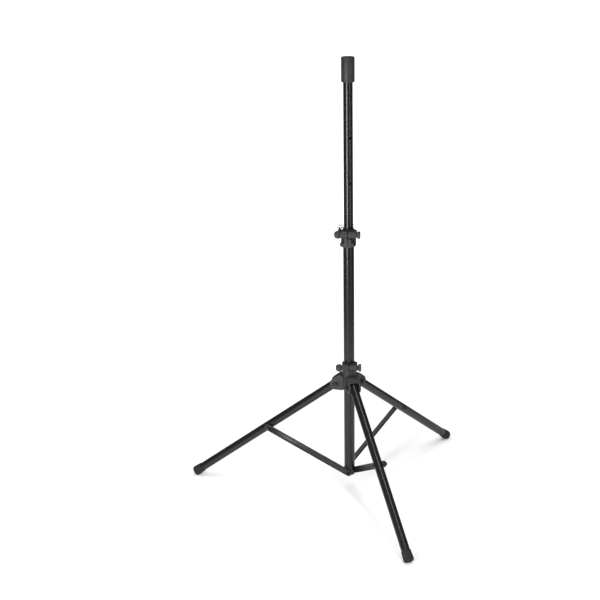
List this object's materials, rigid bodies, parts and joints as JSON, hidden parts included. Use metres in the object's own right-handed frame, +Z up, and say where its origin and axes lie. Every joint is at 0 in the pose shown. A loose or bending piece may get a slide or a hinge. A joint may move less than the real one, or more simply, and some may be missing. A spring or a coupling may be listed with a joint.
{
  "type": "loudspeaker tripod stand",
  "caption": "Telescoping tripod stand that holds a loudspeaker on a round pole adapter, with a sliding yoke, folding legs, braces and clamp knobs.",
  "frame": {"origin": "on the floor, where the mast's axis meets the plane of the three foot faces", "axes": "+Z up along the mast, -Y along the front leg, +X to the right seen from the front"},
  "size_m": [0.8772, 0.7637, 1.3145],
  "materials": {
    "tube_paint": "satin black powder coat",
    "brace_paint": "satin black paint on flat steel",
    "moulded_plastic": "fine moulded texture, charcoal",
    "rubber_foot": "matte black rubber",
    "dark_steel": "black zinc plating",
    "bright_steel": "zinc plating"
  },
  "bodies": {
    "root": {"main_tube": "tube_paint", "base_plug": "moulded_plastic", "hub_screws": "dark_steel", "hub_washers": "moulded_plastic", "collar": "moulded_plastic", "collar_bolt": "dark_steel", "collar_bolt_nut": "dark_steel", "collar_knob_nut": "moulded_plastic", "lanyard": "dark_steel"},
    "pole": {"upper_tube": "tube_paint", "pole_adapter": "moulded_plastic", "adapter_screw": "dark_steel", "guide_bush": "moulded_plastic"},
    "collar_knob_body": {"collar_knob": "moulded_plastic", "collar_knob_screw": "bright_steel"},
    "locking_pin_body": {"locking_pin": "bright_steel", "pin_ring": "bright_steel"},
    "yoke_body": {"yoke": "moulded_plastic", "yoke_knob_nut": "moulded_plastic", "leg_pivot_bolts": "dark_steel", "leg_pivot_nuts": "dark_steel"},
    "yoke_knob_body": {"yoke_knob": "moulded_plastic", "yoke_knob_screw": "bright_steel"},
    "leg_front_body": {"leg_tube_front": "tube_paint", "leg_plug_front": "moulded_plastic", "foot_front": "rubber_foot", "brace_bolt_front": "dark_steel", "brace_spacer_front": "moulded_plastic"},
    "leg_back_body": {"leg_tube_back": "tube_paint", "leg_plug_back": "moulded_plastic", "foot_back": "rubber_foot", "brace_bolt_back": "dark_steel", "brace_spacer_back": "moulded_plastic"},
    "leg_left_body": {"leg_tube_left": "tube_paint", "leg_plug_left": "moulded_plastic", "foot_left": "rubber_foot", "brace_bolt_left": "dark_steel", "brace_spacer_left": "moulded_plastic"},
    "brace_front_body": {"brace_front": "brace_paint", "brace_nut_front": "dark_steel"},
    "brace_back_body": {"brace_back": "brace_paint", "brace_nut_back": "dark_steel"},
    "brace_left_body": {"brace_left": "brace_paint", "brace_nut_left": "dark_steel"}
  },
  "joints": [
    {"name": "pole_slide", "type": "slide", "parent": "root", "child": "pole", "axis": [0, 0, 1], "range_m": [-0.222, 0.324]},
    {"name": "collar_knob_turn", "type": "hinge", "parent": "root", "child": "collar_knob_body", "pos_m": [-0.01037, -0.02329, 0.811], "axis": [0.9135, -0.4067, 0], "range_deg": [-360, 30]},
    {"name": "locking_pin_pull", "type": "slide", "parent": "root", "child": "locking_pin_body", "axis": [0, 0, 1], "range_m": [0, 0.035]},
    {"name": "yoke_slide", "type": "slide", "parent": "root", "child": "yoke_body", "axis": [0, 0, 1], "range_m": [0, 0.25831]},
    {"name": "yoke_knob_turn", "type": "hinge", "parent": "yoke_body", "child": "yoke_knob_body", "pos_m": [-0.0083, -0.02411, 0.4035], "axis": [0.9455, -0.3256, 0], "range_deg": [-360, 30]},
    {"name": "leg_front_fold", "type": "hinge", "parent": "yoke_body", "child": "leg_front_body", "pos_m": [0, -0.039, 0.345], "axis": [1, 0, 0], "range_deg": [0, 53.7]},
    {"name": "leg_back_fold", "type": "hinge", "parent": "yoke_body", "child": "leg_back_body", "pos_m": [0.03377, 0.0195, 0.345], "axis": [-0.5, 0.866, 0], "range_deg": [0, 53.7]},
    {"name": "leg_left_fold", "type": "hinge", "parent": "yoke_body", "child": "leg_left_body", "pos_m": [-0.03377, 0.0195, 0.345], "axis": [-0.5, -0.866, 0], "range_deg": [0, 53.7]},
    {"name": "brace_front_fold", "type": "hinge", "parent": "root", "child": "brace_front_body", "pos_m": [0, 0, 0.057], "axis": [-1, 0, 0], "range_deg": [0, 54.61]},
    {"name": "brace_back_fold", "type": "hinge", "parent": "root", "child": "brace_back_body", "pos_m": [0, 0, 0.057], "axis": [0.5, -0.866, 0], "range_deg": [0, 54.61]},
    {"name": "brace_left_fold", "type": "hinge", "parent": "root", "child": "brace_left_body", "pos_m": [0, 0, 0.057], "axis": [0.5, 0.866, 0], "range_deg": [0, 54.61]}
  ],
  "couplings": [
    {"joint": "leg_front_fold", "follows": "yoke_slide", "rad_per_m": 3.6283},
    {"joint": "leg_back_fold", "follows": "yoke_slide", "rad_per_m": 3.6283},
    {"joint": "leg_left_fold", "follows": "yoke_slide", "rad_per_m": 3.6283},
    {"joint": "brace_front_fold", "follows": "yoke_slide", "rad_per_m": 3.6899},
    {"joint": "brace_back_fold", "follows": "yoke_slide", "rad_per_m": 3.6899},
    {"joint": "brace_left_fold", "follows": "yoke_slide", "rad_per_m": 3.6899}
  ]
}
